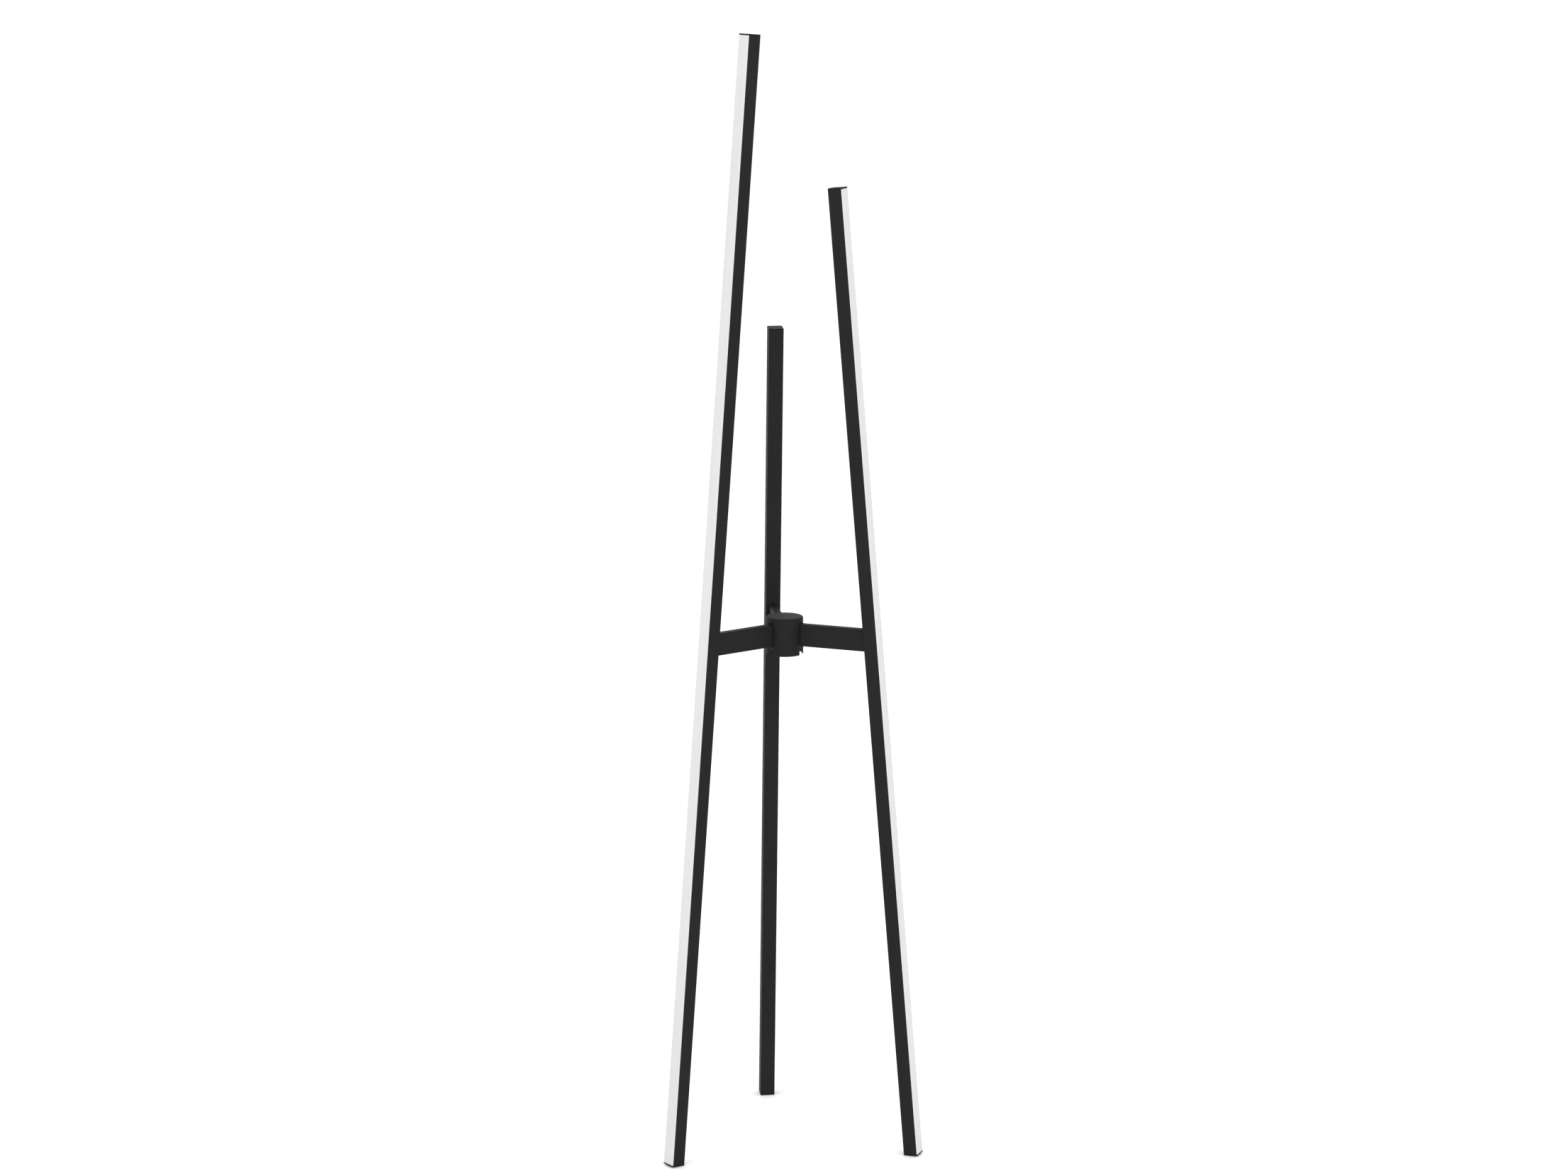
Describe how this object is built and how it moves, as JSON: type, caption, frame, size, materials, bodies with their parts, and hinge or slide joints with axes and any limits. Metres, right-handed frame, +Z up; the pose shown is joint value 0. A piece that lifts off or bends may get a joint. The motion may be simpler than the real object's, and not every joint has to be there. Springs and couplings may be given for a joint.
{
  "type": "floor lamp",
  "caption": "Free-standing floor lamp of slender leaning light bars of different lengths, tied at mid height by flat arms to a round hub with a lift-off cover.",
  "frame": {"origin": "on the floor, in the middle of the rectangle that the lamp covers seen from above; the hub's axis stands at x = 0, y = -45.5 mm", "axes": "+Z up, the lamp's longest extent; +Y from the hub towards the short bar, the shortest extent; the tall bar on the -X side and the medium bar on the +X side"},
  "size_m": [0.3542, 0.3068, 1.5104],
  "materials": {
    "channel_black": "matt black fine-texture powder coat on extruded aluminium",
    "arm_black": "matt black fine-texture powder coat on steel tube",
    "hub_black": "matt black fine-texture powder coat",
    "cap_black": "matt black moulded plastic",
    "diffuser_opal": "satin opal extruded acrylic, unlit",
    "pad_rubber": "matt black rubber",
    "carrier_aluminium": "mill-finish strip",
    "board_white": "white solder mask",
    "phosphor_yellow": "soft silicone with phosphor",
    "insert_steel": "zinc-plated steel block",
    "core_black": "black e-coated aluminium casting",
    "screw_steel": "zinc-plated",
    "ring_rubber": "black nitrile",
    "nipple_steel": "zinc-plated, rolled thread",
    "bushing_plastic": "black nylon",
    "block_nylon": "natural white nylon",
    "lead_insulation": "soft PVC insulation"
  },
  "bodies": {
    "stand": {"tall_channel": "channel_black", "tall_led_carrier": "carrier_aluminium", "tall_led_board": "board_white", "tall_light_strip": "phosphor_yellow", "tall_diffuser": "diffuser_opal", "tall_top_cap": "cap_black", "tall_bottom_cap": "cap_black", "tall_foot_pad": "pad_rubber", "tall_arm": "arm_black", "tall_arm_insert": "insert_steel", "tall_bar_screws": "screw_steel", "tall_lead_bushing": "bushing_plastic", "tall_lead": "lead_insulation", "medium_channel": "channel_black", "medium_led_carrier": "carrier_aluminium", "medium_led_board": "board_white", "medium_light_strip": "phosphor_yellow", "medium_diffuser": "diffuser_opal", "medium_top_cap": "cap_black", "medium_bottom_cap": "cap_black", "medium_foot_pad": "pad_rubber", "medium_arm": "arm_black", "medium_arm_insert": "insert_steel", "medium_bar_screws": "screw_steel", "medium_lead_bushing": "bushing_plastic", "medium_lead": "lead_insulation", "short_channel": "channel_black", "short_led_carrier": "carrier_aluminium", "short_led_board": "board_white", "short_light_strip": "phosphor_yellow", "short_diffuser": "diffuser_opal", "short_top_cap": "cap_black", "short_bottom_cap": "cap_black", "short_foot_pad": "pad_rubber", "short_arm": "arm_black", "short_arm_insert": "insert_steel", "short_bar_screws": "screw_steel", "short_lead_bushing": "bushing_plastic", "short_lead": "lead_insulation", "hub_core": "core_black", "hub_ring": "ring_rubber", "arm_lock_screws": "screw_steel", "cord_nipple": "nipple_steel", "nipple_nut": "screw_steel", "cord_bushing": "bushing_plastic", "terminal_block": "block_nylon", "terminal_screws": "screw_steel", "terminal_block_screw": "screw_steel"},
    "cover": {"hub_cover": "hub_black"}
  },
  "joints": [
    {"name": "cover_lift", "type": "slide", "parent": "stand", "child": "cover", "axis": [0, 0, 1], "range_m": [0, 0.06]}
  ]
}
